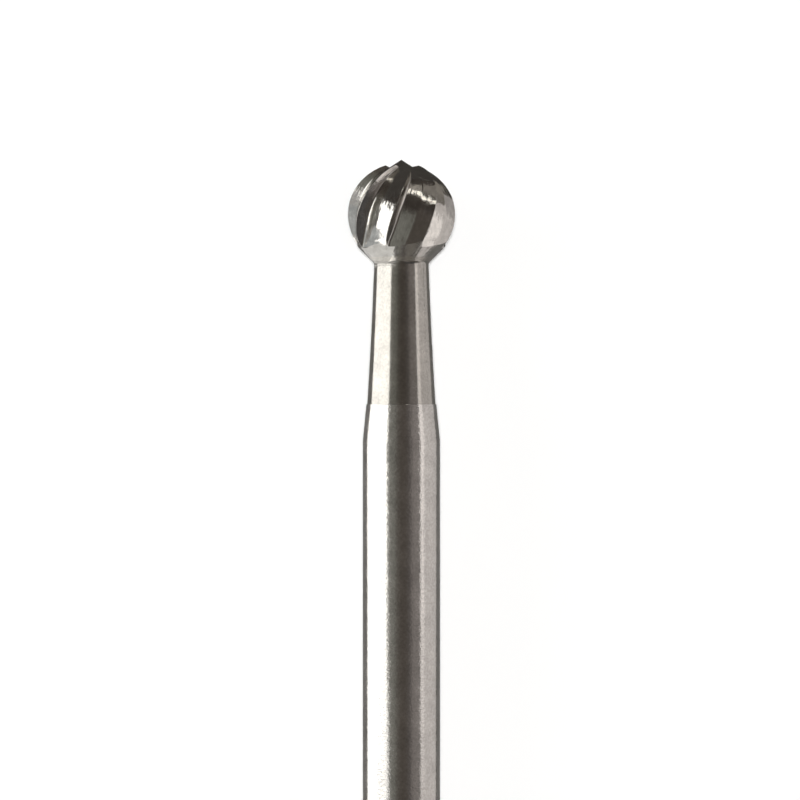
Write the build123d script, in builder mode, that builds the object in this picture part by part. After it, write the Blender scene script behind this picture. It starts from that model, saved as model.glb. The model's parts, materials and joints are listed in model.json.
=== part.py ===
"""Round carbide bur on a straight handpiece shank, lying as it comes to rest on a flat surface.

The tool is modelled along +Z with the ball's centre at the origin and its tip up, and laid down last:
tip towards +X, axis over the X axis, resting on two teeth and on the corner of the shank's rear end.
A fluted carbide head is brazed to a turned and ground steel shank. All sizes are in millimetres.
"""

import os
from math import asin, atan, atan2, cos, degrees, hypot, log, radians, sin, sqrt, tan

from build123d import *

# Carbide head: a ball of right-hand helical teeth that cut to the right
ball_diameter = 3.3            # over the tooth edges
tooth_count = 8
helix_angle = 19.4             # of the teeth, at the ball's equator
flute_depth = 0.37             # at the equator, from tooth edge to root
rake_angle = 15.0              # negative: the face leans forwards from the edge down to the root
root_radius = 0.09             # fillet along the bottom of a flute, at the equator
back_radius = 1.75             # crown of a tooth's back
land_width = 0.05              # ground strip behind each edge, at the equator
point_height = 0.09            # centre point over the ball's top
gash_radius = 0.40             # lowest ring of the gash round the centre point, from the axis
gash_depth = 0.12              # of that ring, under the ball's surface
tooth_start_radius = 0.55      # where the teeth begin, from the axis
cone_start_latitude = 28.7     # behind the equator, where the ball runs into the back cone
back_cone_angle = 45.0         # between the back cone and the axis

# Braze seam between head and shank, ground flush with the back cone
braze_thickness = 0.12
seam_to_neck = 0.055           # length of back cone that belongs to the shank

# Steel shank, ISO type for straight handpieces
shank_diameter = 2.35
overall_length = 44.5          # centre point to rear end
neck_front_diameter = 1.65
neck_rear_diameter = 2.08
neck_length = 4.30
neck_sagitta = 0.014           # hollow of the neck's long ground curve
neck_fillet = 0.12             # between back cone and neck
collar_diameter = 2.13         # front of the short taper that leads up to the full shank
taper_length = 1.11
rear_chamfer = 0.30

# How far the cutting shape for a flute stands clear of the blank
clearance = 0.15

# Derived places, measured from the ball's centre
ball_radius = ball_diameter / 2
flute_root_radius = ball_radius - flute_depth
pitch_angle = 360 / tooth_count
mouth_half_angle = pitch_angle / 2 - degrees(land_width / ball_diameter)
helix_slope = tan(radians(helix_angle))

cone_slope = tan(radians(back_cone_angle))
cone_start_radius = ball_radius * cos(radians(cone_start_latitude))
cone_start_z = -ball_radius * sin(radians(cone_start_latitude))
neck_radius = neck_front_diameter / 2
neck_start_z = cone_start_z - (cone_start_radius - neck_radius) / cone_slope
shank_front_z = neck_start_z + seam_to_neck
head_rear_z = shank_front_z + braze_thickness
shank_front_radius = neck_radius + seam_to_neck * cone_slope
head_rear_radius = shank_front_radius + braze_thickness * cone_slope
point_z = ball_radius + point_height
neck_rear_z = neck_start_z - neck_length
taper_rear_z = neck_rear_z - taper_length
rear_z = point_z - overall_length
shank_radius = shank_diameter / 2


def ball_height(radius):
    """Height of the ball's surface over its centre at this distance from the axis."""
    return sqrt(ball_radius**2 - radius**2)


def flute_outline(plane, surface_radius, depth, scale):
    """Section of the flute's cutting shape on a plane whose local x points out of the ball."""
    half_angle = degrees(atan(scale * tan(radians(mouth_half_angle))))
    down_the_face = Vector(1, 0).rotate(Axis.Z, 180 - half_angle - rake_angle)
    face_height = depth / cos(radians(rake_angle))
    with BuildSketch(plane) as outline:
        with BuildLine():
            edge = Vector(surface_radius, 0).rotate(Axis.Z, -half_angle)
            heel = Vector(surface_radius, 0).rotate(Axis.Z, half_angle)
            face = Line(edge - down_the_face * clearance, edge + down_the_face * face_height)
            back = RadiusArc(face @ 1, heel, back_radius)
            run_out = Line(back @ 1, back @ 1 + back % 1 * clearance)
            ThreePointArc(run_out @ 1, (surface_radius + 3 * clearance, 0), face @ 0)
        make_face()
        root = outline.vertices().sort_by_distance((0, 0))[0]
        fillet(root, radius=root_radius * scale)
    return outline.sketch


# ---- The cutting shape of one flute ----
# Behind the equator it runs along a cylinder, so it leaves through the back cone.
# In front it follows the ball at a constant helix angle and shrinks with the distance from the axis.
cone_run = -cone_start_z
flute_rear_run = -head_rear_z + clearance
gash_latitude = degrees(atan2(ball_height(gash_radius), gash_radius))

sections = []
for run in (flute_rear_run, (cone_run + flute_rear_run) / 2, cone_run, cone_run / 2):
    twist = -degrees(run * helix_slope / ball_radius)
    surface_radius = ball_height(min(run, cone_run))
    section_plane = Plane(Pos(0, 0, -run) * Rot(0, 0, twist))
    depth = surface_radius - flute_root_radius
    sections.append(flute_outline(section_plane, surface_radius, depth, 1))
for share in (0, 0.25, 0.48, 0.67, 0.82, 0.93, 1):
    latitude = share * gash_latitude
    twist = degrees(helix_slope * log(tan(radians(45 + latitude / 2))))
    section_plane = Plane(Rot(0, 0, twist) * Rot(0, -latitude, 0))
    scale = cos(radians(latitude))
    sections.append(flute_outline(section_plane, ball_radius, flute_depth * scale, scale))

with BuildPart() as flute:
    loft(sections)

# ---- Carbide head ----
with BuildPart() as head:
    with BuildSketch(Plane.XZ):
        with BuildLine():
            point = Line((0, point_z), (gash_radius, ball_height(gash_radius) - gash_depth))
            shoulder = Line(point @ 1, (tooth_start_radius, ball_height(tooth_start_radius)))
            cone_start = (cone_start_radius, cone_start_z)
            ball = ThreePointArc(shoulder @ 1, (ball_radius, 0), cone_start)
            back_cone = Line(ball @ 1, (head_rear_radius, head_rear_z))
            Polyline(back_cone @ 1, (0, head_rear_z), point @ 0)
        make_face()
    revolve(axis=Axis.Z)
    with PolarLocations(0, tooth_count):
        add(flute.part, mode=Mode.SUBTRACT)

# ---- Braze seam ----
with BuildPart() as braze:
    with BuildSketch(Plane.XZ):
        with BuildLine():
            Polyline(
                (0, head_rear_z),
                (head_rear_radius, head_rear_z),
                (shank_front_radius, shank_front_z),
                (0, shank_front_z),
                close=True,
            )
        make_face()
    revolve(axis=Axis.Z)

# ---- Steel shank ----
with BuildPart() as shank:
    with BuildSketch(Plane.XZ) as shank_profile:
        with BuildLine():
            front = Line((0, shank_front_z), (shank_front_radius, shank_front_z))
            cone = Line(front @ 1, (neck_radius, neck_start_z))
            neck = SagittaArc(cone @ 1, (neck_rear_diameter / 2, neck_rear_z), -neck_sagitta)
            step = Line(neck @ 1, (collar_diameter / 2, neck_rear_z))
            taper = Line(step @ 1, (shank_radius, taper_rear_z))
            Polyline(taper @ 1, (shank_radius, rear_z), (0, rear_z), front @ 0)
        make_face()
        neck_corner = shank_profile.vertices().sort_by_distance((neck_radius, neck_start_z))[0]
        longest_fillet = 0.95 * seam_to_neck / cone_slope / tan(radians(back_cone_angle / 2))
        fillet(neck_corner, radius=min(neck_fillet, longest_fillet))
    revolve(axis=Axis.Z)
    rear_rim = shank.edges().filter_by(GeomType.CIRCLE).group_by(Axis.Z)[0]
    chamfer(rear_rim, length=rear_chamfer)

# ---- Lying on a flat surface ----
# The flute whose mouth is centred on +X faces down, so that its two teeth carry the head.
head_down = Rot(0, 90, 0) * head.part
head_rest_height = -head_down.bounding_box().min.Z
rear_corner_run = -rear_z - rear_chamfer
reach = hypot(rear_corner_run, shank_radius)
tilt = degrees(asin(head_rest_height / reach) - atan2(shank_radius, rear_corner_run))

lean = Rot(0, 90 - tilt, 0)
corners = (lean * Compound([head.part, braze.part, shank.part])).bounding_box()
to_rest = Pos(-corners.center().X, -corners.center().Y, -corners.min.Z) * lean
for piece in (head, braze, shank):
    piece.part.locate(to_rest)

os.makedirs("parts", exist_ok=True)

head.part.label = "carbide_head"
export_step(head.part, "parts/carbide_head.step")

braze.part.label = "braze_seam"
export_step(braze.part, "parts/braze_seam.step")

shank.part.label = "steel_shank"
export_step(shank.part, "parts/steel_shank.step")
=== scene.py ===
"""Looks of the round carbide burr: fluted head, braze seam, turned and ground shank, and the stage.

Laid out as an add-on and run as a script. Tool coordinates have the ball's centre at the origin and the
tip on +Z.
"""

import json
import math

import bmesh
import bpy
from mathutils import Matrix, Vector


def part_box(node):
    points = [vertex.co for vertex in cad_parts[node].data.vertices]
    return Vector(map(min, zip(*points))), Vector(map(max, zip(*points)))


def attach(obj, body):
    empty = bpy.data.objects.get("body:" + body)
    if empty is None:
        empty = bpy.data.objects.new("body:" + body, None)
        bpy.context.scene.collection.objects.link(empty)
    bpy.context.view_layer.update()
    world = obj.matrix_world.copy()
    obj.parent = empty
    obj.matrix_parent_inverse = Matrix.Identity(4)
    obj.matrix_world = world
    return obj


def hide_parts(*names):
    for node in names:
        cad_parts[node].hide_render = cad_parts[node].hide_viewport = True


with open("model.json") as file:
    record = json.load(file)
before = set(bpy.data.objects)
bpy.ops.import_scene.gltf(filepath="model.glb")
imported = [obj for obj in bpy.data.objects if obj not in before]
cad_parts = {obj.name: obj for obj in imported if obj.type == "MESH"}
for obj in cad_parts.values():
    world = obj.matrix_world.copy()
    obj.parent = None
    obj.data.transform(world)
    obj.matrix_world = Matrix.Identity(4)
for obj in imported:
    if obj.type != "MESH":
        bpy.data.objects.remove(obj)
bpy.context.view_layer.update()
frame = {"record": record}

bl_info = {
    "name": "Round Carbide Burr",
    "version": (1, 0, 0),
    "blender": (4, 5, 0),
    "location": "View3D > Sidebar > Burr",
    "description": "Builds a round carbide burr with ground flutes, a braze seam and a turned shank",
    "category": "Object",
}

MM = 0.001

# The shank's mount gives the tool's axis, and the head's box gives the tip
MOUNT = frame["record"]["mounts"][0]
TO_TIP = -Vector(MOUNT["axis"]).normalized()
SIDEWAYS = Vector((0, 1, 0))
TIP_OVER_CENTRE = 1.74 * MM

# From the ball's centre back to the step between neck and collar
NECK_REAR_MM = 5.71466

# Vertices that are closer than this become one
MERGE_DISTANCE = 0.00002 * MM


def tool_placement():
    """Turns tool coordinates to where the tool lies, with one flute's middle straight down."""
    origin = Vector(MOUNT["pos_m"])
    tip_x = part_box("carbide_head")[1].x
    tip = origin + TO_TIP * ((tip_x - origin.x) / TO_TIP.x)
    down = SIDEWAYS.cross(TO_TIP).normalized()
    turn = Matrix((down, SIDEWAYS, TO_TIP)).transposed().to_4x4()
    return Matrix.Translation(tip - TO_TIP * TIP_OVER_CENTRE) @ turn


PLACEMENT = tool_placement()

# The tone of the steel changes at the step, over this much on either side
STEP_X = (PLACEMENT @ Vector((0, 0, -NECK_REAR_MM * MM))).x
STEP_BLUR = 0.004 * MM


# ---- Sizes and colours that a user may change ----


def length(name, description, millimetres):
    """A length, kept in metres."""
    return bpy.props.FloatProperty(
        name=name,
        description=description,
        default=millimetres * MM,
        min=0,
        precision=6,
        subtype="DISTANCE",
        unit="LENGTH",
    )


def angle(name, description, degrees):
    return bpy.props.FloatProperty(
        name=name,
        description=description,
        default=math.radians(degrees),
        subtype="ANGLE",
        unit="ROTATION",
    )


def colour(name, description, value):
    return bpy.props.FloatVectorProperty(
        name=name,
        description=description,
        default=value,
        min=0,
        max=1,
        size=3,
        subtype="COLOR",
    )


def strength(name, description, value, usual_most=4):
    """A brightness or a share, from 0 up."""
    return bpy.props.FloatProperty(
        name=name,
        description=description,
        default=value,
        min=0,
        soft_max=usual_most,
    )


class BurrHeadSizes(bpy.types.PropertyGroup):
    ball_diameter: length("Ball diameter", "Over the tooth edges", 3.2955)
    tooth_count: bpy.props.IntProperty(
        name="Teeth",
        description="Teeth round the ball",
        default=8,
        min=4,
        max=16,
    )
    helix_angle: angle("Helix angle", "Of the teeth, at the ball's equator", 19.4)
    flute_depth: length("Flute depth", "From tooth edge to root, at the equator", 0.37)
    rake_angle: angle("Rake angle", "Lean of the tooth face, forwards from the edge down", 15)
    root_radius: length("Root radius", "Fillet along the bottom of a flute", 0.09)
    back_radius: length("Back radius", "Crown of a tooth's back", 1.75)
    land_width: length("Land width", "Ground strip behind each edge", 0.022)
    facet_flatness: strength("Facet flatness", "0 leaves the backs round, 1 makes each two flats", 0.75)
    gash_radius: length("Gash radius", "Lowest ring of the gash round the centre point", 0.40)
    gash_depth: length("Gash depth", "Of that ring, under the ball's surface", 0.12)
    tooth_start_radius: length("Tooth start radius", "Where the teeth begin, from the axis", 0.55)
    cone_start: angle("Cone start", "Latitude behind the equator where the back cone begins", 28.7)
    rear: length("Head rear", "From the ball's centre back to the braze seam", 1.23966)


class BurrShankSizes(bpy.types.PropertyGroup):
    seam_rear: length("Seam rear", "From the ball's centre back to the seam's rear", 1.35966)
    neck_front: length("Neck front", "From the ball's centre back to the neck", 1.41466)
    neck_rear: length("Neck rear", "From the ball's centre back to the step", NECK_REAR_MM)
    taper_rear: length("Taper rear", "From the ball's centre back to the full shank", 6.82466)
    shank_rear: length("Shank rear", "From the ball's centre back to the rear end", 42.76)
    neck_front_radius: length("Neck front radius", "Where the neck leaves the back cone", 0.825)
    neck_rear_radius: length("Neck rear radius", "In front of the step", 1.04)
    neck_hollow: length("Neck hollow", "Depth of the neck's long hollow curve", 0.014)
    collar_radius: length("Collar radius", "Front of the short taper behind the step", 1.065)
    shank_radius: length("Shank radius", "Of the gripped length", 1.175)
    rear_chamfer: length("Rear chamfer", "At the rear end", 0.30)


class BurrFinish(bpy.types.PropertyGroup):
    carbide: colour("Carbide", "Ground tungsten carbide", (0.77, 0.752, 0.72))
    braze: colour("Braze", "Braze alloy of the seam", (0.76, 0.73, 0.68))
    neck_steel: colour("Neck steel", "Finely ground steel of the neck", (0.60, 0.58, 0.545))
    shank_steel: colour("Shank steel", "Centreless ground steel behind the step", (0.80, 0.78, 0.755))
    floor: colour("Floor", "Pale table top", (0.97, 0.97, 0.965))
    dark_cloth: colour("Dark cloth", "Cloth that keeps light off the unlit sides", (0.05, 0.046, 0.042))
    grey_cloth: colour("Grey cloth", "Cloth under the shank", (0.16, 0.155, 0.148))
    softbox: strength("Softbox", "Brightness of the large lamp and the panels on the left", 1.58)
    reflector: strength("Reflector", "Brightness of the dimmer lamp and the panels on the right", 0.53)
    edge_strip: strength("Edge strip", "Brightness of the narrow lamp on the right", 0.36)
    tip_strip: strength("Tip strip", "Brightness of the slanting lamp beyond the tip", 1.5)
    fill: strength("Fill", "Brightness of the small lamp over the table", 423, 1000)


# ---- Node helpers ----

# A Map Range node with these takes up the part of its range that a noise mostly fills
NOISE_RANGE = {"From_Min": 0.3, "From_Max": 0.7}

# Sockets of a Mix node that mixes colours, which share their names with others
MIX_FACTOR, MIX_FIRST, MIX_SECOND, MIX_RESULT = 0, 6, 7, 2

# How many slow changes of tone come to one pit
BLOTCHES_PER_PIT = 0.12


def empty_material(name):
    """A material with nothing in its tree yet."""
    material = bpy.data.materials.new(name)
    material.use_nodes = True
    material.node_tree.nodes.clear()
    return material, material.node_tree


def metal_material(name, base):
    """A metal with its tree and shader."""
    material = bpy.data.materials.new(name)
    material.use_nodes = True
    material.diffuse_color = (*base, 1)
    shader = material.node_tree.nodes["Principled BSDF"]
    shader.inputs["Metallic"].default_value = 1
    return material, material.node_tree, shader


def add_node(tree, kind, place, **values):
    """A node with its settings and unlinked inputs filled in."""
    node = tree.nodes.new(kind)
    node.location = place
    for key, value in values.items():
        if hasattr(node, key):
            setattr(node, key, value)
        else:
            node.inputs[key.replace("_", " ")].default_value = value
    return node


def direct_rays(tree, x, y):
    """Socket with 1 for rays from the camera or by way of metal or glass, and 0 for light on matt things."""
    path = add_node(tree, "ShaderNodeLightPath", (x, y))
    direct = path.outputs["Is Camera Ray"]
    for column, kind in enumerate(("Is Glossy Ray", "Is Transmission Ray"), 1):
        either = add_node(tree, "ShaderNodeMath", (x + 200 * column, y), operation="MAXIMUM")
        tree.links.new(direct, either.inputs[0])
        tree.links.new(path.outputs[kind], either.inputs[1])
        direct = either.outputs[0]
    return direct


def group_socket(group, name, direction, kind, default=None):
    socket = group.interface.new_socket(name=name, in_out=direction, socket_type=kind)
    if default is not None:
        socket.default_value = default


def grinding_marks():
    """What a grinding wheel leaves: long fine lines, small pits and slow changes of tone."""
    group = bpy.data.node_groups.get("Grinding Marks")
    if group:
        return group
    group = bpy.data.node_groups.new("Grinding Marks", "ShaderNodeTree")
    group_socket(group, "Surface", "INPUT", "NodeSocketVector")
    group_socket(group, "Line Spacing", "INPUT", "NodeSocketVector", (8, 1, 1))
    group_socket(group, "Place", "INPUT", "NodeSocketVector")
    group_socket(group, "Pits per Metre", "INPUT", "NodeSocketFloat", 12000)
    group_socket(group, "Pit Depth", "INPUT", "NodeSocketFloat", 0.5)
    group_socket(group, "Height", "OUTPUT", "NodeSocketFloat")
    group_socket(group, "Blotch", "OUTPUT", "NodeSocketFloat")
    group_socket(group, "Speck", "OUTPUT", "NodeSocketFloat")
    inside = add_node(group, "NodeGroupInput", (-1000, 0))
    outside = add_node(group, "NodeGroupOutput", (400, 0))
    scaled = add_node(group, "ShaderNodeVectorMath", (-700, 100), operation="MULTIPLY")
    lines = add_node(group, "ShaderNodeTexNoise", (-450, 200), Scale=1, Detail=2, Roughness=0.5)
    pits = add_node(group, "ShaderNodeTexNoise", (-450, -50), Detail=2, Roughness=0.5)
    slower = add_node(group, "ShaderNodeMath", (-700, -300), operation="MULTIPLY")
    slower.inputs[1].default_value = BLOTCHES_PER_PIT
    blotch = add_node(group, "ShaderNodeTexNoise", (-450, -300), Detail=3, Roughness=0.6)
    height = add_node(group, "ShaderNodeMath", (0, 100), operation="MULTIPLY_ADD")
    links = group.links
    links.new(inside.outputs["Surface"], scaled.inputs[0])
    links.new(inside.outputs["Line Spacing"], scaled.inputs[1])
    links.new(scaled.outputs[0], lines.inputs["Vector"])
    links.new(inside.outputs["Place"], pits.inputs["Vector"])
    links.new(inside.outputs["Pits per Metre"], pits.inputs["Scale"])
    links.new(inside.outputs["Place"], blotch.inputs["Vector"])
    links.new(inside.outputs["Pits per Metre"], slower.inputs[0])
    links.new(slower.outputs[0], blotch.inputs["Scale"])
    links.new(pits.outputs["Fac"], height.inputs[0])
    links.new(inside.outputs["Pit Depth"], height.inputs[1])
    links.new(lines.outputs["Fac"], height.inputs[2])
    links.new(height.outputs[0], outside.inputs["Height"])
    links.new(blotch.outputs["Fac"], outside.inputs["Blotch"])
    links.new(pits.outputs["Fac"], outside.inputs["Speck"])
    return group


def ground_metal(name, base, surface, line_spacing, pits, pit_depth, roughness, height, rear_base=None):
    """Ground metal, marked along UV or Object coordinates.

    With rear_base the metal has that tone behind the step, and shallower marks in front of it.
    """
    material, tree, shader = metal_material(name, base)
    links = tree.links
    place = add_node(tree, "ShaderNodeTexCoord", (-1500, 0))
    marks = add_node(tree, "ShaderNodeGroup", (-1100, 0))
    marks.node_tree = grinding_marks()
    marks.inputs["Line Spacing"].default_value = line_spacing
    marks.inputs["Pits per Metre"].default_value = pits
    marks.inputs["Pit Depth"].default_value = pit_depth
    tone = add_node(tree, "ShaderNodeMapRange", (-800, 300), **NOISE_RANGE, To_Min=0.86, To_Max=1.08)
    speck_tone = add_node(tree, "ShaderNodeMapRange", (-800, 50), **NOISE_RANGE, To_Min=0.92, To_Max=1.08)
    both = add_node(tree, "ShaderNodeMath", (-600, 200), operation="MULTIPLY")
    tint = add_node(tree, "ShaderNodeVectorMath", (-250, 200), operation="SCALE")
    tint.inputs[0].default_value = base
    gloss = add_node(tree, "ShaderNodeMapRange", (-550, -50), **NOISE_RANGE)
    gloss.inputs["To Min"].default_value, gloss.inputs["To Max"].default_value = roughness
    bump = add_node(tree, "ShaderNodeBump", (-250, -250), Strength=1, Distance=height)
    links.new(place.outputs[surface], marks.inputs["Surface"])
    links.new(place.outputs["Object"], marks.inputs["Place"])
    links.new(marks.outputs["Blotch"], tone.inputs["Value"])
    links.new(marks.outputs["Speck"], speck_tone.inputs["Value"])
    links.new(tone.outputs[0], both.inputs[0])
    links.new(speck_tone.outputs[0], both.inputs[1])
    links.new(both.outputs[0], tint.inputs["Scale"])
    links.new(tint.outputs[0], shader.inputs["Base Color"])
    links.new(marks.outputs["Blotch"], gloss.inputs["Value"])
    links.new(gloss.outputs[0], shader.inputs["Roughness"])
    links.new(marks.outputs["Height"], bump.inputs["Height"])
    links.new(bump.outputs[0], shader.inputs["Normal"])
    if rear_base:
        split = add_node(tree, "ShaderNodeSeparateXYZ", (-900, 600))
        front = add_node(tree, "ShaderNodeMapRange", (-700, 600))
        front.inputs["From Min"].default_value = STEP_X - STEP_BLUR
        front.inputs["From Max"].default_value = STEP_X + STEP_BLUR
        zone = add_node(tree, "ShaderNodeMix", (-450, 500), data_type="RGBA")
        zone.inputs[MIX_FIRST].default_value = (*rear_base, 1)
        zone.inputs[MIX_SECOND].default_value = (*base, 1)
        links.new(place.outputs["Object"], split.inputs[0])
        links.new(split.outputs["X"], front.inputs["Value"])
        links.new(front.outputs[0], zone.inputs[MIX_FACTOR])
        links.new(zone.outputs[MIX_RESULT], tint.inputs[0])
        calmer = add_node(tree, "ShaderNodeMapRange", (-500, -500), To_Min=1, To_Max=0.28)
        relief = add_node(tree, "ShaderNodeMath", (-400, -350), operation="MULTIPLY")
        links.new(front.outputs[0], calmer.inputs["Value"])
        links.new(marks.outputs["Height"], relief.inputs[0])
        links.new(calmer.outputs[0], relief.inputs[1])
        links.new(relief.outputs[0], bump.inputs["Height"])
    return material


def carbide_material(finish):
    """Ground carbide, marked along each tooth."""
    return ground_metal(
        "Ground Carbide",
        finish.carbide,
        "UV",
        line_spacing=(8, 0.6, 1),
        pits=5500,
        pit_depth=1.2,
        roughness=(0.09, 0.18),
        height=0.006 * MM,
    )


def steel_material(finish):
    """Ground steel, marked in rings; the neck is finer and darker than the shank."""
    return ground_metal(
        "Shank Steel",
        finish.neck_steel,
        "Object",
        line_spacing=(20000, 3500, 3500),
        pits=13500,
        pit_depth=1.6,
        roughness=(0.12, 0.19),
        height=0.0024 * MM,
        rear_base=finish.shank_steel,
    )


def braze_material(finish):
    """Braze alloy, duller than the steel."""
    return ground_metal(
        "Braze Alloy",
        finish.braze,
        "Object",
        line_spacing=(9000, 3000, 3000),
        pits=16000,
        pit_depth=0.9,
        roughness=(0.16, 0.26),
        height=0.003 * MM,
    )


# ---- Mesh helpers ----


def finish_piece(mesh, name, material, node, sharp_angle):
    """Turns a mesh in tool coordinates into a piece that lies in place of its CAD node."""
    bmesh.ops.remove_doubles(mesh, verts=mesh.verts, dist=MERGE_DISTANCE)
    bmesh.ops.recalc_face_normals(mesh, faces=mesh.faces)
    bmesh.ops.transform(mesh, matrix=PLACEMENT, verts=mesh.verts)
    for face in mesh.faces:
        face.smooth = True
    for edge in mesh.edges:
        edge.smooth = edge.is_manifold and edge.calc_face_angle() < sharp_angle
    data = bpy.data.meshes.new(name)
    mesh.to_mesh(data)
    mesh.free()
    data.materials.append(material)
    piece = bpy.data.objects.new(name, data)
    bpy.context.scene.collection.objects.link(piece)
    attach(piece, "root")
    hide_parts(node)


def swing(centre, start, end, count):
    """Points on the arc from start to just before end."""
    first = start - centre
    turn = -first.angle_signed(end - centre)
    return [centre + Matrix.Rotation(turn * index / count, 2) @ first for index in range(count)]


def even_steps(start, end, count):
    """Numbers from start to just before end."""
    return [start + (end - start) * index / count for index in range(count)]


# ---- The fluted head ----

# Keeps the grinding marks of one tooth apart from the next tooth's
UV_GAP_MM = 1.7


class FluteForm:
    """Where the head's surface lies: across one flute by columns, along it by rings from rear to tip."""

    face_columns, root_columns, back_columns, land_columns = 5, 9, 24, 2
    cone_rings, run_out_rings, rear_rings, front_rings, gash_rings, point_rings = 6, 14, 26, 84, 6, 14
    equator_ring = cone_rings + run_out_rings + rear_rings

    # The search for the gash's edge starts this far outside its rings, in radians, and halves this often
    margin_below, margin_above, halvings = 0.03, 0.05, 30

    def __init__(self, sizes):
        self.radius = sizes.ball_diameter / 2
        self.count = sizes.tooth_count
        self.slope = math.tan(sizes.helix_angle)
        self.depth = sizes.flute_depth
        self.rake = sizes.rake_angle
        self.root_radius = sizes.root_radius
        self.back_radius = sizes.back_radius
        self.flatness = sizes.facet_flatness
        self.pitch = 2 * math.pi / self.count
        self.mouth = self.pitch / 2 - sizes.land_width / sizes.ball_diameter
        self.cone_run = self.radius * math.sin(sizes.cone_start)
        self.cone_radius = self.radius * math.cos(sizes.cone_start)
        self.rear_run = sizes.rear
        self.start_radius = sizes.tooth_start_radius
        self.start_height = self.ball_height(sizes.tooth_start_radius)
        self.gash_radius = sizes.gash_radius
        self.gash_height = self.ball_height(sizes.gash_radius) - sizes.gash_depth
        self.columns = self.face_columns + self.root_columns + self.back_columns + self.land_columns
        self.outlines = {}

    def ball_height(self, radius):
        return math.sqrt(self.radius**2 - radius**2)

    def outline(self, surface, depth, scale):
        """Section of one flute from its edge to the heel behind it, with X out of the ball."""
        half = math.atan(scale * math.tan(self.mouth))
        edge = Vector((surface * math.cos(half), -surface * math.sin(half)))
        heel = Vector((edge.x, -edge.y))
        down = Matrix.Rotation(math.pi - half - self.rake, 2) @ Vector((1, 0))
        corner = edge + down * depth / math.cos(self.rake)
        chord = heel - corner
        inward = Vector((-chord.y, chord.x)).normalized()
        if inward.x > 0:
            inward.negate()
        centre = (heel + corner) / 2 + inward * math.sqrt(self.back_radius**2 - chord.length_squared / 4)
        # the fillet's hub is its radius off the face, and its radius outside the circle of the back
        fillet = self.root_radius * scale
        off_face = Vector((-down.y, down.x))
        if off_face.y < 0:
            off_face.negate()
        start = edge + off_face * fillet - centre
        along = start.dot(down)
        room = (self.back_radius + fillet) ** 2 - start.length_squared + along**2
        travel = -along - math.sqrt(room)
        if travel < 0:
            travel = -along + math.sqrt(room)
        hub = centre + start + down * travel
        foot = edge + down * travel
        landing = centre + (hub - centre).normalized() * self.back_radius
        points = [edge.lerp(foot, step / self.face_columns) for step in range(self.face_columns)]
        points += swing(hub, foot, landing, self.root_columns)
        # the back is its crown, drawn towards two flats that meet in a ridge
        back = swing(centre, landing, heel, self.back_columns) + [heel]
        half_way = self.back_columns // 2
        ridge = back[half_way]
        for index, point in enumerate(back):
            start, end, first = (landing, ridge, 0) if index < half_way else (ridge, heel, half_way)
            on_flat = start.lerp(end, (index - first) / half_way)
            points.append(point.lerp(on_flat, self.flatness))
        return points

    def fluted(self, column, place):
        """A point of the fluted surface. Place is the run behind the equator if negative, or the latitude."""
        if place < 0:
            surface = self.ball_height(min(-place, self.cone_run))
            depth = surface - (self.radius - self.depth)
            scale = 1
            twist = place * self.slope / self.radius
            turn = Matrix.Translation((0, 0, place)) @ Matrix.Rotation(twist, 4, "Z")
        else:
            surface = self.radius
            scale = math.cos(place)
            depth = self.depth * scale
            twist = self.slope * math.log(math.tan(math.pi / 4 + place / 2))
            turn = Matrix.Rotation(twist, 4, "Z") @ Matrix.Rotation(-place, 4, "Y")
        if (surface, scale) not in self.outlines:
            self.outlines[surface, scale] = self.outline(surface, depth, scale)
        points = self.outlines[surface, scale]
        if column < len(points):
            return turn @ points[column].to_3d()
        heel = turn @ points[-1].to_3d()
        edge = Matrix.Rotation(self.pitch, 4, "Z") @ turn @ points[0].to_3d()
        share = (column - len(points) + 1) / self.land_columns
        flat = heel.lerp(edge, share)
        if place < 0:
            flat.xy = flat.xy.normalized() * surface
            return flat
        return flat.normalized() * self.radius

    def gash_at(self, radius):
        """Height of the gash and the centre point over the ball's centre."""
        if radius > self.gash_radius:
            share = (radius - self.gash_radius) / (self.start_radius - self.gash_radius)
            return self.gash_height + share * (self.start_height - self.gash_height)
        return TIP_OVER_CENTRE + radius / self.gash_radius * (self.gash_height - TIP_OVER_CENTRE)

    def gash_latitude(self, column):
        """Latitude at which this column of the fluted surface runs into the gash."""
        low = math.acos(self.start_radius / self.radius) - self.margin_below
        high = math.acos(self.gash_radius / self.radius) + self.margin_above
        for _ in range(self.halvings):
            middle = (low + high) / 2
            point = self.fluted(column, middle)
            if point.z > self.gash_at(point.xy.length):
                high = middle
            else:
                low = middle
        return high

    def column_points(self, column):
        """The head's surface along one column, from the rear rim to the tip."""
        rim = self.fluted(column, -self.cone_run)
        run_out = self.cone_run + self.cone_radius - rim.xy.length
        points = []
        for run in even_steps(self.rear_run, run_out, self.cone_rings):
            radius = self.cone_radius - (run - self.cone_run)
            twist = -(run - self.cone_run) * self.slope / self.radius
            on_cone = Matrix.Rotation(twist, 2) @ (rim.xy.normalized() * radius)
            points.append(on_cone.to_3d() + Vector((0, 0, -run)))
        top = self.gash_latitude(column)
        places = even_steps(-run_out, -self.cone_run, self.run_out_rings)
        places += even_steps(-self.cone_run, 0, self.rear_rings)
        places += even_steps(0, top, self.front_rings)
        points += [self.fluted(column, place) for place in places]
        crossing = self.fluted(column, top)
        outward = crossing.xy.normalized()
        radii = even_steps(crossing.xy.length, self.gash_radius, self.gash_rings)
        radii += [self.gash_radius * (1 - ring / self.point_rings) for ring in range(self.point_rings + 1)]
        for radius in radii:
            points.append((outward * radius).to_3d() + Vector((0, 0, self.gash_at(radius))))
        return points


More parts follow.
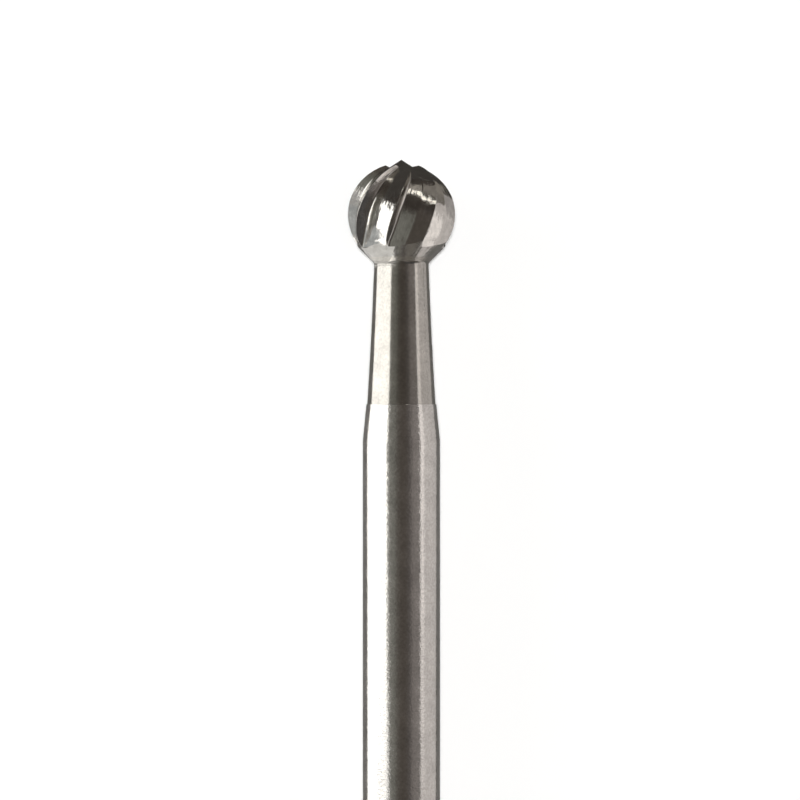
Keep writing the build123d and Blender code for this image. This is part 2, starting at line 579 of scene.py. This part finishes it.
def build_head(sizes, finish):
    """Wraps a grid round the head, and closes it behind."""
    form = FluteForm(sizes)
    one_pitch = [form.column_points(column) for column in range(form.columns)]
    across = form.columns * form.count
    rings = len(one_pitch[0]) - 1
    mesh = bmesh.new()
    marks = mesh.loops.layers.uv.new("UVMap")
    bmesh.ops.create_grid(mesh, x_segments=across, y_segments=rings, size=0.5)
    # the marks' coordinates are millimetres, across each tooth and along the tool
    equator = [points[form.equator_ring] for points in one_pitch]
    equator.append(Matrix.Rotation(form.pitch, 4, "Z") @ equator[0])
    width = [0.0]
    for here, following in zip(equator, equator[1:]):
        width.append(width[-1] + (following - here).length / MM)
    tooth_spacing = width[-1] + UV_GAP_MM
    for vert in mesh.verts:
        column, ring = round((vert.co.x + 0.5) * across), round((vert.co.y + 0.5) * rings)
        tooth, own = divmod(column, form.columns)
        point = Matrix.Rotation(form.pitch * tooth, 4, "Z") @ one_pitch[own][ring]
        for loop in vert.link_loops:
            loop[marks].uv = (width[own] + tooth * tooth_spacing, point.z / MM)
        vert.co = point
    bmesh.ops.remove_doubles(mesh, verts=mesh.verts, dist=MERGE_DISTANCE)
    rim = [edge for edge in mesh.edges if edge.is_boundary]
    bmesh.ops.holes_fill(mesh, edges=rim)
    material = carbide_material(finish)
    finish_piece(mesh, "fluted_head", material, "carbide_head", sharp_angle=math.radians(16))


# ---- Turned pieces ----

TURNED_STEPS = 192
CORNER_STEPS = 8
NECK_STEPS = 24


def turned(profile):
    """Spins a profile of (radius, height) points into a closed solid of revolution."""
    mesh = bmesh.new()
    verts = [mesh.verts.new((radius, 0, height)) for radius, height in profile]
    edges = [mesh.edges.new(pair) for pair in zip(verts, verts[1:])]
    bmesh.ops.spin(
        mesh,
        geom=verts + edges,
        cent=(0, 0, 0),
        axis=(0, 0, 1),
        dvec=(0, 0, 0),
        angle=2 * math.pi,
        steps=TURNED_STEPS,
        use_merge=True,
    )
    bmesh.ops.remove_doubles(mesh, verts=mesh.verts, dist=MERGE_DISTANCE)
    return mesh


def build_braze(head, shank, finish):
    """The ring of braze alloy between head and shank, flush with the back cone."""
    cone_radius = head.ball_diameter / 2 * math.cos(head.cone_start)
    cone_run = head.ball_diameter / 2 * math.sin(head.cone_start)
    front = cone_radius - (head.rear - cone_run)
    rear = cone_radius - (shank.seam_rear - cone_run)
    profile = [(0, -head.rear), (front, -head.rear), (rear, -shank.seam_rear), (0, -shank.seam_rear)]
    mesh, material = turned(profile), braze_material(finish)
    finish_piece(mesh, "braze_ring", material, "braze_seam", sharp_angle=math.radians(30))


def build_shank(shank, finish):
    """Back cone, hollow neck, step, taper and straight shank."""
    front_radius = shank.neck_front_radius + shank.neck_front - shank.seam_rear
    profile = [(0, -shank.seam_rear), (front_radius, -shank.seam_rear)]
    # the small hollow between back cone and neck, which reaches further along the neck
    corner = Vector((shank.neck_front_radius, -shank.neck_front))
    cone_reach = 0.05 * MM
    neck_share = 1.4
    slim = (shank.neck_rear_radius - shank.neck_front_radius) / (shank.neck_rear - shank.neck_front)
    for step in range(CORNER_STEPS + 1):
        share = step / CORNER_STEPS
        before = corner + Vector((1, 1)) * cone_reach * (1 - share)
        after = corner + Vector((slim, -1)) * cone_reach * neck_share * share
        profile.append(before.lerp(after, share).to_tuple())
    # the long hollow of the neck
    start, end = Vector(profile[-1]), Vector((shank.neck_rear_radius, -shank.neck_rear))
    for step in range(1, NECK_STEPS + 1):
        share = step / NECK_STEPS
        point = start.lerp(end, share)
        point.x -= 4 * share * (1 - share) * shank.neck_hollow
        profile.append(point.to_tuple())
    profile += [
        (shank.collar_radius, -shank.neck_rear),
        (shank.shank_radius, -shank.taper_rear),
        (shank.shank_radius, -shank.shank_rear + shank.rear_chamfer),
        (shank.shank_radius - shank.rear_chamfer, -shank.shank_rear),
        (0, -shank.shank_rear),
    ]
    mesh, material = turned(profile), steel_material(finish)
    finish_piece(mesh, "ground_shank", material, "steel_shank", sharp_angle=math.radians(5))


# ---- The stage ----

# The camera looks down on the tool, this far off the vertical
LEAN = math.radians(13.3)
TO_CAMERA = Vector((0, math.sin(LEAN), math.cos(LEAN)))

# Height of the view at the tool, and where its middle lies
FRAME_HEIGHT = 24.4 * MM
AIM_BEHIND_BALL = 5.583 * MM
AIM_LEFT = 0.043 * MM

SOFTBOX_TINT = (1, 0.985, 0.955)
REFLECTOR_TINT = (1, 0.945, 0.915)
CARD_TINT = (0.97, 1, 1)
STRIP_TINT = (1, 0.965, 0.88)
WARM_GREY = (1, 0.92, 0.82)

# The canopy's sides, in metres; its shades' reach to either side, in degrees; and where beyond the tip
# they give way to one dark tone, in metres
CANOPY_SIZE = (1.2, 1.0, 0.9)
CANOPY_SWEEP = 60
CANOPY_FADE = (0.16, 0.30)

# Distance from the middle over which the table turns plain white, in metres
TABLE_FADE = (0.06, 0.30)
TABLE_HALF_WIDTH = 1

# Sheets on the table lie at these heights, so that no two are in one plane
DARK_CLOTH_HEIGHT = 0.0002 * MM
GREY_CLOTH_HEIGHT = 0.0003 * MM
PANEL_HEIGHT = 0.0004 * MM


def around(degrees, height_degrees=0.0):
    """Direction from the tool: degrees round its axis from the camera to the left, then towards the tip."""
    left = TO_CAMERA.cross(TO_TIP).normalized()
    front = TO_TIP.cross(left).normalized()
    turn, height = math.radians(degrees), math.radians(height_degrees)
    flat = front * math.cos(turn) + left * math.sin(turn)
    return flat * math.cos(height) + TO_TIP * math.sin(height)


def tool_middle():
    """The point of the axis that the lamps and the hanging panels face."""
    return PLACEMENT.translation - TO_TIP * AIM_BEHIND_BALL


def look_along(direction, up):
    """Turn of an object that faces against this direction, with up at its top."""
    back = direction.normalized()
    right = up.cross(back).normalized()
    return Matrix((right, back.cross(right), back)).transposed().to_4x4()


def lamp(name, direction, distance, width, height, brightness, tint, up=TO_TIP, shiny=True):
    """A soft rectangular lamp that shows in metal at this brightness."""
    data = bpy.data.lights.new(name, "AREA")
    data.shape = "RECTANGLE"
    data.size, data.size_y = width, height
    data.energy = brightness * math.pi * width * height
    data.color = tint
    light = bpy.data.objects.new(name, data)
    light.matrix_world = Matrix.Translation(tool_middle() + direction * distance) @ look_along(direction, up)
    light.visible_camera = False
    light.visible_glossy = shiny
    bpy.context.scene.collection.objects.link(light)


def only_in_reflections(piece):
    """Metal shows this stage piece, but it hides nothing and throws no shadow."""
    piece.visible_camera = False
    piece.visible_diffuse = False
    piece.visible_shadow = False


def stage_piece(name, mesh, material):
    data = bpy.data.meshes.new(name)
    mesh.to_mesh(data)
    mesh.free()
    data.materials.append(material)
    piece = bpy.data.objects.new(name, data)
    bpy.context.scene.collection.objects.link(piece)
    return piece


def rectangle(x, y):
    """Corners of a rectangle round the origin that reaches this far each way."""
    return [(-x, -y), (x, -y), (x, y), (-x, y)]


def mesh_of_sheet(corners, height=0.0):
    mesh = bmesh.new()
    mesh.faces.new([mesh.verts.new((x, y, height)) for x, y in corners])
    return mesh


def sheet_on_table(name, corners, height, material):
    """A flat sheet with these corners, in metres."""
    return stage_piece(name, mesh_of_sheet(corners, height), material)


def standing_card(name, corners, place, brightness, tint):
    """An upright card with corners in millimetres, which only metal shows."""
    mesh = mesh_of_sheet([(x * MM, y * MM) for x, y in corners])
    bmesh.ops.transform(mesh, matrix=place, verts=mesh.verts)
    material = panel_material(name, brightness, tint, spots_per_metre=1500, unevenness=0.3)
    only_in_reflections(stage_piece(name, mesh, material))


def hanging_panel(name, direction, distance, width, height, brightness, tint, unevenness=0.1):
    """A panel over the table that only metal shows."""
    mesh = mesh_of_sheet(rectangle(width / 2, height / 2))
    place = Matrix.Translation(tool_middle() + direction * distance) @ look_along(direction, TO_TIP)
    bmesh.ops.transform(mesh, matrix=place, verts=mesh.verts)
    material = panel_material(name, brightness, tint, spots_per_metre=50, unevenness=unevenness)
    only_in_reflections(stage_piece(name, mesh, material))


def cloth_material(name, tone):
    """Matt sheet with a faint unevenness."""
    material = bpy.data.materials.new(name)
    material.use_nodes = True
    tree = material.node_tree
    shader = tree.nodes["Principled BSDF"]
    shader.inputs["Roughness"].default_value = 0.9
    shader.inputs["Specular IOR Level"].default_value = 0
    spread = 0.015
    place = add_node(tree, "ShaderNodeTexCoord", (-800, 0))
    cloud = add_node(tree, "ShaderNodeTexNoise", (-600, 0), Scale=60, Detail=2)
    level = add_node(tree, "ShaderNodeMapRange", (-400, 0), To_Min=1 - spread, To_Max=1 + spread)
    tint = add_node(tree, "ShaderNodeVectorMath", (-200, 0), operation="SCALE")
    tint.inputs[0].default_value = tone
    tree.links.new(place.outputs["Object"], cloud.inputs["Vector"])
    tree.links.new(cloud.outputs["Fac"], level.inputs["Value"])
    tree.links.new(level.outputs[0], tint.inputs["Scale"])
    tree.links.new(tint.outputs[0], shader.inputs["Base Color"])
    return material


def panel_material(name, brightness, tint, spots_per_metre=4, unevenness=0.1):
    """A light panel or a lit card, brighter and dimmer in patches."""
    material, tree = empty_material(name)
    place = add_node(tree, "ShaderNodeTexCoord", (-900, 0))
    cloud = add_node(tree, "ShaderNodeTexNoise", (-700, 0), Scale=spots_per_metre, Detail=3)
    patches = add_node(tree, "ShaderNodeMapRange", (-500, 0), **NOISE_RANGE)
    patches.inputs["To Min"].default_value = brightness * (1 - unevenness)
    patches.inputs["To Max"].default_value = brightness * (1 + unevenness)
    glow = add_node(tree, "ShaderNodeEmission", (-250, 0), Color=(*tint, 1))
    out = add_node(tree, "ShaderNodeOutputMaterial", (0, 0))
    tree.links.new(place.outputs["Object"], cloud.inputs["Vector"])
    tree.links.new(cloud.outputs["Fac"], patches.inputs["Value"])
    tree.links.new(patches.outputs[0], glow.inputs["Strength"])
    tree.links.new(glow.outputs[0], out.inputs["Surface"])
    return material


def table_material(tone):
    """Matt pale table that goes on as plain white where the lamps no longer reach."""
    material = cloth_material("Pale Table", tone)
    tree = material.node_tree
    direct = direct_rays(tree, -400, 500)
    place = add_node(tree, "ShaderNodeTexCoord", (-400, 300))
    reach = add_node(tree, "ShaderNodeVectorMath", (-200, 300), operation="LENGTH")
    beyond = add_node(tree, "ShaderNodeMapRange", (0, 300), interpolation_type="SMOOTHSTEP")
    beyond.inputs["From Min"].default_value, beyond.inputs["From Max"].default_value = TABLE_FADE
    glow = add_node(tree, "ShaderNodeMath", (200, 400), operation="MULTIPLY")
    shader = tree.nodes["Principled BSDF"]
    shader.inputs["Emission Color"].default_value = (1, 1, 1, 1)
    tree.links.new(place.outputs["Object"], reach.inputs[0])
    tree.links.new(reach.outputs["Value"], beyond.inputs["Value"])
    tree.links.new(direct, glow.inputs[0])
    tree.links.new(beyond.outputs[0], glow.inputs[1])
    tree.links.new(glow.outputs[0], shader.inputs["Emission Strength"])
    return material


def canopy_material():
    """Dark cloth overhead, a little lighter towards the lamps at the sides."""
    material, tree = empty_material("Dark Canopy")
    place = add_node(tree, "ShaderNodeTexCoord", (-1200, 0))
    split = add_node(tree, "ShaderNodeSeparateXYZ", (-1000, 0))
    around_axis = add_node(tree, "ShaderNodeMath", (-800, 100), operation="ARCTAN2")
    off_camera = add_node(tree, "ShaderNodeMath", (-650, 100), operation="SUBTRACT")
    off_camera.inputs[1].default_value = LEAN
    sweep = add_node(tree, "ShaderNodeMapRange", (-500, 100))
    sweep.inputs["From Min"].default_value = math.radians(-CANOPY_SWEEP)
    sweep.inputs["From Max"].default_value = math.radians(CANOPY_SWEEP)
    ramp = add_node(tree, "ShaderNodeValToRGB", (-350, 100))
    stops = ramp.color_ramp.elements
    stops[0].position, stops[0].color = 0.02, (0.04, 0.036, 0.033, 1)
    stops[1].position, stops[1].color = 0.86, (0.22, 0.215, 0.195, 1)
    # degrees from the camera to the left, and the cloth's shade there
    for side, level in (
        (-54, (0.22, 0.20, 0.19)),
        (-35, (0.20, 0.18, 0.17)),
        (-24, (0.10, 0.09, 0.085)),
        (-13, (0.082, 0.071, 0.062)),
        (0, (0.078, 0.067, 0.058)),
        (13, (0.105, 0.096, 0.085)),
        (22, (0.17, 0.168, 0.15)),
    ):
        stops.new(0.5 + side / (2 * CANOPY_SWEEP)).color = (*level, 1)
    beyond = add_node(tree, "ShaderNodeMapRange", (-500, -150), To_Min=1, To_Max=0)
    beyond.inputs["From Min"].default_value, beyond.inputs["From Max"].default_value = CANOPY_FADE
    shade = add_node(tree, "ShaderNodeMix", (-50, 0), data_type="RGBA")
    shade.inputs[MIX_FIRST].default_value = (0.046, 0.039, 0.034, 1)
    glow = add_node(tree, "ShaderNodeEmission", (120, 0), Strength=1)
    out = add_node(tree, "ShaderNodeOutputMaterial", (300, 0))
    links = tree.links
    links.new(place.outputs["Object"], split.inputs[0])
    links.new(split.outputs["Y"], around_axis.inputs[0])
    links.new(split.outputs["Z"], around_axis.inputs[1])
    links.new(around_axis.outputs[0], off_camera.inputs[0])
    links.new(off_camera.outputs[0], sweep.inputs["Value"])
    links.new(sweep.outputs[0], ramp.inputs["Fac"])
    links.new(split.outputs["X"], beyond.inputs["Value"])
    links.new(beyond.outputs[0], shade.inputs[MIX_FACTOR])
    links.new(ramp.outputs["Color"], shade.inputs[MIX_SECOND])
    links.new(shade.outputs[MIX_RESULT], glow.inputs["Color"])
    links.new(glow.outputs[0], out.inputs["Surface"])
    return material


def hang_canopy():
    """Dark cloth over and round everything else."""
    mesh = bmesh.new()
    bmesh.ops.create_cube(mesh, size=1)
    bmesh.ops.scale(mesh, vec=CANOPY_SIZE, verts=mesh.verts)
    only_in_reflections(stage_piece("canopy", mesh, canopy_material()))


def lay_sheets(finish):
    """Dark cloth on the table, grey cloth along the shank, and panels round them that widen from the ball."""
    far, slant = 500 * MM, 0.62
    dark = cloth_material("Dark Cloth", finish.dark_cloth)
    only_in_reflections(sheet_on_table("dark_cloth", rectangle(far, far), DARK_CLOTH_HEIGHT, dark))
    ball = PLACEMENT.translation.x
    rear, neck, behind = ball - 19.5 * MM, ball - 5.8 * MM, ball - 1.0 * MM
    strip = [(-far, -6 * MM), (behind, -5 * MM), (behind, 6 * MM), (-far, 6 * MM)]
    grey = cloth_material("Grey Cloth", finish.grey_cloth)
    only_in_reflections(sheet_on_table("grey_cloth", strip, GREY_CLOTH_HEIGHT, grey))
    left = [
        (rear, 2.9 * MM),
        (neck, 2.8 * MM),
        (behind, 2.4 * MM),
        (behind, 5.3 * MM),
        (ball + slant * 5.3 * MM, 5.3 * MM),
        (ball + slant * far, far),
        (-far, far),
        (ball - 26 * MM, 30 * MM),
    ]
    left_rear = [(rear, 3.0 * MM), (ball - 26 * MM, 30 * MM), (-far, far), (-far, 0.3 * far)]
    right = [
        (-far, -far),
        (rear, -6.0 * MM),
        (behind, -5.0 * MM),
        (behind, -2.7 * MM),
        (ball, -3.0 * MM),
        (ball, -far),
    ]
    right_front = [
        (ball, -far),
        (ball, -3.0 * MM),
        (ball + 3.3 * MM, -5.5 * MM),
        (ball + slant * far, -far),
    ]
    front_corner = [
        (ball + 3.3 * MM, -5.5 * MM),
        (ball + 2.4 * MM, -3.2 * MM),
        (ball + 5.5 * MM, -4.2 * MM),
        (ball + 9 * MM, -7 * MM),
        (ball + 1.05 * far, -far),
        (ball + slant * far, -far),
    ]
    for name, corners, brightness, tint in (
        ("left_panel", left, 1.15 * finish.softbox, SOFTBOX_TINT),
        ("left_rear_panel", left_rear, 0.5 * finish.softbox, SOFTBOX_TINT),
        ("right_panel", right, finish.reflector, REFLECTOR_TINT),
        ("right_front_panel", right_front, 0.65 * finish.reflector, REFLECTOR_TINT),
        ("front_corner_panel", front_corner, 0.23, WARM_GREY),
    ):
        panel = sheet_on_table(name, corners, PANEL_HEIGHT, panel_material(name, brightness, tint))
        only_in_reflections(panel)


def stand_cards():
    """One card on the head's left, one behind its cone and one beyond the shank's rear end."""
    ball = PLACEMENT.translation.x
    upright = Matrix.Rotation(math.pi / 2, 4, "X")
    crossways = Matrix.Rotation(math.pi / 2, 4, "Z")
    along_tool = [(-1.35, 0), (2.2, 0), (2.2, 1.3), (-0.1, 1.4), (-0.6, 2.42), (-1.35, 2.42)]
    cut_corners = [
        (0.56, 2.75),
        (0.56, 2.25),
        (0.88, 1.6),
        (0.88, 0),
        (1.5, 0),
        (1.5, 2.2),
        (1.02, 2.46),
        (0.8, 2.65),
    ]
    on_right = [(-45, 0), (-6, 0), (-6, 20), (-45, 20)]
    by_head = Matrix.Translation((ball, 2.5 * MM, 0)) @ upright
    by_cone = Matrix.Translation((ball - 1.45 * MM, 0, 0)) @ crossways @ upright
    by_rear_end = Matrix.Translation((ball - 60 * MM, 0, 0)) @ crossways @ upright
    standing_card("head_card", along_tool, by_head, 0.40, CARD_TINT)
    standing_card("cone_card", cut_corners, by_cone, 0.70, SOFTBOX_TINT)
    standing_card("rear_card", on_right, by_rear_end, 0.16, WARM_GREY)


def hang_panels():
    """Panels that the head mirrors, each with its direction, distance, width, height and brightness."""
    hanging_panel("lower_left_panel", around(57, -38), 0.28, 0.22, 0.26, 0.42, SOFTBOX_TINT, 0.5)
    hanging_panel("rim_light", around(46, -12), 0.26, 0.078, 0.034, 1.2, SOFTBOX_TINT)
    hanging_panel("lower_right_flag", around(-38, -32), 0.28, 0.20, 0.17, 0.07, REFLECTOR_TINT)
    hanging_panel("tip_panel", around(-2, 69), 0.33, 0.05, 0.09, 0.30, WARM_GREY, 0.3)
    hanging_panel("right_tip_panel", around(-62, 61), 0.33, 0.175, 0.12, 0.21, WARM_GREY, 0.2)
    hanging_panel("right_high_panel", around(-100, 42), 0.33, 0.15, 0.15, 0.20, WARM_GREY, 0.2)


def build_world():
    """White round the table, and dim as a light."""
    world = bpy.data.worlds.new("Studio")
    bpy.context.scene.world = world
    world.use_nodes = True
    tree = world.node_tree
    tree.nodes.clear()
    level = add_node(tree, "ShaderNodeMapRange", (-300, 0), To_Min=0.12, To_Max=1)
    back = add_node(tree, "ShaderNodeBackground", (0, 0))
    out = add_node(tree, "ShaderNodeOutputWorld", (250, 0))
    back.inputs["Color"].default_value = (1, 1, 1, 1)
    tree.links.new(direct_rays(tree, -900, 0), level.inputs["Value"])
    tree.links.new(level.outputs[0], back.inputs["Strength"])
    tree.links.new(back.outputs[0], out.inputs["Surface"])


def build_camera():
    """A long lens over the tool, with the tip at the top of the view."""
    data = bpy.data.cameras.new("Camera")
    data.lens = 150
    data.sensor_width = 36
    distance = FRAME_HEIGHT * data.lens / data.sensor_width
    camera = bpy.data.objects.new("Camera", data)
    aim = tool_middle() + TO_CAMERA.cross(TO_TIP).normalized() * AIM_LEFT
    camera.matrix_world = Matrix.Translation(aim + TO_CAMERA * distance) @ look_along(TO_CAMERA, TO_TIP)
    data.clip_start, data.clip_end = 0.005, 10
    bpy.context.scene.collection.objects.link(camera)
    bpy.context.scene.camera = camera


def build_stage(finish):
    """The studio; each lamp has its direction, distance, width, height and brightness."""
    bpy.context.scene.view_settings.view_transform = "Standard"
    build_world()
    build_camera()
    hang_canopy()
    lay_sheets(finish)
    stand_cards()
    hang_panels()
    table = rectangle(TABLE_HALF_WIDTH, TABLE_HALF_WIDTH)
    sheet_on_table("table", table, 0, table_material(finish.floor))
    along_strip = around(4, 60) - around(-29, 45)
    lamp("softbox", around(60.5, 7), 0.30, 0.18, 0.20, finish.softbox, SOFTBOX_TINT)
    lamp("reflector", around(-81, 0), 0.30, 0.25, 0.40, finish.reflector, REFLECTOR_TINT)
    lamp("tip_strip", around(-15, 53.5), 0.30, 0.043, 0.155, finish.tip_strip, STRIP_TINT, up=along_strip)
    lamp("edge_strip", around(-65, 6), 0.29, 0.065, 0.14, finish.edge_strip, REFLECTOR_TINT)
    lamp("fill", around(0), 0.50, 0.04, 0.04, finish.fill, (1, 1, 1), shiny=False)


# ---- Operators, panel and registration ----


class BURR_OT_head(bpy.types.Operator):
    """Build the fluted carbide head"""

    bl_idname = "burr.head"
    bl_label = "Fluted Head"

    def execute(self, context):
        build_head(context.scene.burr_head, context.scene.burr_finish)
        return {"FINISHED"}


class BURR_OT_braze(bpy.types.Operator):
    """Build the braze ring between head and shank"""

    bl_idname = "burr.braze"
    bl_label = "Braze Ring"

    def execute(self, context):
        build_braze(context.scene.burr_head, context.scene.burr_shank, context.scene.burr_finish)
        return {"FINISHED"}


class BURR_OT_shank(bpy.types.Operator):
    """Build the turned and ground shank"""

    bl_idname = "burr.shank"
    bl_label = "Ground Shank"

    def execute(self, context):
        build_shank(context.scene.burr_shank, context.scene.burr_finish)
        return {"FINISHED"}


class BURR_OT_stage(bpy.types.Operator):
    """Set the table, lamps, surroundings and camera"""

    bl_idname = "burr.stage"
    bl_label = "Stage"

    def execute(self, context):
        build_stage(context.scene.burr_finish)
        return {"FINISHED"}


class BURR_PT_panel(bpy.types.Panel):
    """Lists the burr's pieces and their settings"""

    bl_idname = "BURR_PT_panel"
    bl_label = "Carbide Burr"
    bl_space_type = "VIEW_3D"
    bl_region_type = "UI"
    bl_category = "Burr"

    def draw(self, context):
        column = self.layout.column()
        for operator in (BURR_OT_head, BURR_OT_braze, BURR_OT_shank, BURR_OT_stage):
            column.operator(operator.bl_idname)
        for settings in (context.scene.burr_head, context.scene.burr_shank, context.scene.burr_finish):
            box = column.box()
            for name in settings.__annotations__:
                box.prop(settings, name)


CLASSES = (
    BurrHeadSizes,
    BurrShankSizes,
    BurrFinish,
    BURR_OT_head,
    BURR_OT_braze,
    BURR_OT_shank,
    BURR_OT_stage,
    BURR_PT_panel,
)


def register():
    for cls in CLASSES:
        bpy.utils.register_class(cls)
    bpy.types.Scene.burr_head = bpy.props.PointerProperty(type=BurrHeadSizes)
    bpy.types.Scene.burr_shank = bpy.props.PointerProperty(type=BurrShankSizes)
    bpy.types.Scene.burr_finish = bpy.props.PointerProperty(type=BurrFinish)


def unregister():
    del bpy.types.Scene.burr_finish
    del bpy.types.Scene.burr_shank
    del bpy.types.Scene.burr_head
    for cls in reversed(CLASSES):
        bpy.utils.unregister_class(cls)


def main():
    register()
    bpy.ops.burr.head()
    bpy.ops.burr.braze()
    bpy.ops.burr.shank()
    bpy.ops.burr.stage()
    bpy.context.view_layer.update()


if __name__ == "__main__":
    main()
